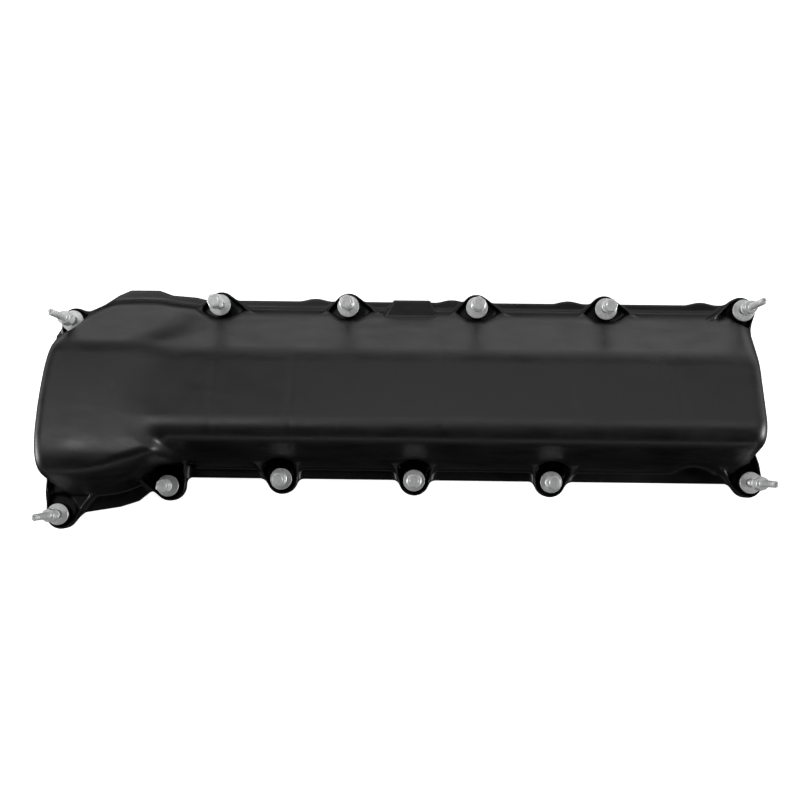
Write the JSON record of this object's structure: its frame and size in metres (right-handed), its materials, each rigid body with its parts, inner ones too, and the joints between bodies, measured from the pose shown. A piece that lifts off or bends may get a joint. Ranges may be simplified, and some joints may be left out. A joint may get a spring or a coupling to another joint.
{
  "type": "engine valve cover",
  "caption": "Long moulded cover for an overhead-camshaft cylinder head, with a ridged dome, a taller timing end, a seal and captive isolated bolts.",
  "frame": {"origin": "centre of the bounding box in plan, on the sealing face, which is the lowest plane of the part", "axes": "+X along the bank from the taller timing end to the rear end, +Y towards the long slope side, +Z away from the cylinder head"},
  "size_m": [0.5888, 0.199, 0.0891],
  "materials": {
    "black_nylon": "satin moulded glass-filled nylon",
    "seal_rubber": "moulded silicone",
    "bush_rubber": "matt rubber",
    "sleeve_steel": "plain turned steel",
    "zinc_steel": "zinc plated, dull"
  },
  "bodies": {
    "root": {"cover_shell": "black_nylon", "perimeter_seal": "seal_rubber", "grommet_slope_1": "bush_rubber", "sleeve_slope_1": "sleeve_steel", "washer_slope_1": "zinc_steel", "grommet_slope_2": "bush_rubber", "sleeve_slope_2": "sleeve_steel", "washer_slope_2": "zinc_steel", "grommet_slope_3": "bush_rubber", "sleeve_slope_3": "sleeve_steel", "washer_slope_3": "zinc_steel", "grommet_slope_4": "bush_rubber", "sleeve_slope_4": "sleeve_steel", "washer_slope_4": "zinc_steel", "grommet_steep_1": "bush_rubber", "sleeve_steep_1": "sleeve_steel", "washer_steep_1": "zinc_steel", "grommet_steep_2": "bush_rubber", "sleeve_steep_2": "sleeve_steel", "washer_steep_2": "zinc_steel", "grommet_steep_3": "bush_rubber", "sleeve_steep_3": "sleeve_steel", "washer_steep_3": "zinc_steel", "grommet_steep_4": "bush_rubber", "sleeve_steep_4": "sleeve_steel", "washer_steep_4": "zinc_steel", "grommet_corner_1": "bush_rubber", "sleeve_corner_1": "sleeve_steel", "washer_corner_1": "zinc_steel", "grommet_corner_2": "bush_rubber", "sleeve_corner_2": "sleeve_steel", "washer_corner_2": "zinc_steel", "grommet_corner_3": "bush_rubber", "sleeve_corner_3": "sleeve_steel", "washer_corner_3": "zinc_steel", "grommet_corner_4": "bush_rubber", "sleeve_corner_4": "sleeve_steel", "washer_corner_4": "zinc_steel"},
    "bolt_slope_1": {"bolt_slope_1": "zinc_steel"},
    "bolt_slope_2": {"bolt_slope_2": "zinc_steel"},
    "bolt_slope_3": {"bolt_slope_3": "zinc_steel"},
    "bolt_slope_4": {"bolt_slope_4": "zinc_steel"},
    "bolt_steep_1": {"bolt_steep_1": "zinc_steel"},
    "bolt_steep_2": {"bolt_steep_2": "zinc_steel"},
    "bolt_steep_3": {"bolt_steep_3": "zinc_steel"},
    "bolt_steep_4": {"bolt_steep_4": "zinc_steel"},
    "stud_bolt_1": {"stud_bolt_1": "zinc_steel"},
    "stud_bolt_2": {"stud_bolt_2": "zinc_steel"},
    "stud_bolt_3": {"stud_bolt_3": "zinc_steel"},
    "stud_bolt_4": {"stud_bolt_4": "zinc_steel"}
  },
  "joints": [
    {"name": "bolt_slope_1_slide", "type": "slide", "parent": "root", "child": "bolt_slope_1", "axis": [0, 0, 1], "range_m": [-0.02145, 0.0055]},
    {"name": "bolt_slope_2_slide", "type": "slide", "parent": "root", "child": "bolt_slope_2", "axis": [0, 0, 1], "range_m": [-0.02195, 0.005]},
    {"name": "bolt_slope_3_slide", "type": "slide", "parent": "root", "child": "bolt_slope_3", "axis": [0, 0, 1], "range_m": [-0.02045, 0.0065]},
    {"name": "bolt_slope_4_slide", "type": "slide", "parent": "root", "child": "bolt_slope_4", "axis": [0, 0, 1], "range_m": [-0.01595, 0.011]},
    {"name": "bolt_steep_1_slide", "type": "slide", "parent": "root", "child": "bolt_steep_1", "axis": [0, 0, 1], "range_m": [-0.01295, 0.014]},
    {"name": "bolt_steep_2_slide", "type": "slide", "parent": "root", "child": "bolt_steep_2", "axis": [0, 0, 1], "range_m": [-0.01095, 0.016]},
    {"name": "bolt_steep_3_slide", "type": "slide", "parent": "root", "child": "bolt_steep_3", "axis": [0, 0, 1], "range_m": [-0.01195, 0.015]},
    {"name": "bolt_steep_4_slide", "type": "slide", "parent": "root", "child": "bolt_steep_4", "axis": [0, 0, 1], "range_m": [-0.01045, 0.0165]},
    {"name": "stud_bolt_1_slide", "type": "slide", "parent": "root", "child": "stud_bolt_1", "axis": [0, 0, 1], "range_m": [-0.01545, 0.0115]},
    {"name": "stud_bolt_2_slide", "type": "slide", "parent": "root", "child": "stud_bolt_2", "axis": [0, 0, 1], "range_m": [-0.01445, 0.0125]},
    {"name": "stud_bolt_3_slide", "type": "slide", "parent": "root", "child": "stud_bolt_3", "axis": [0, 0, 1], "range_m": [-0.01195, 0.015]},
    {"name": "stud_bolt_4_slide", "type": "slide", "parent": "root", "child": "stud_bolt_4", "axis": [0, 0, 1], "range_m": [-0.02245, 0.0045]}
  ]
}
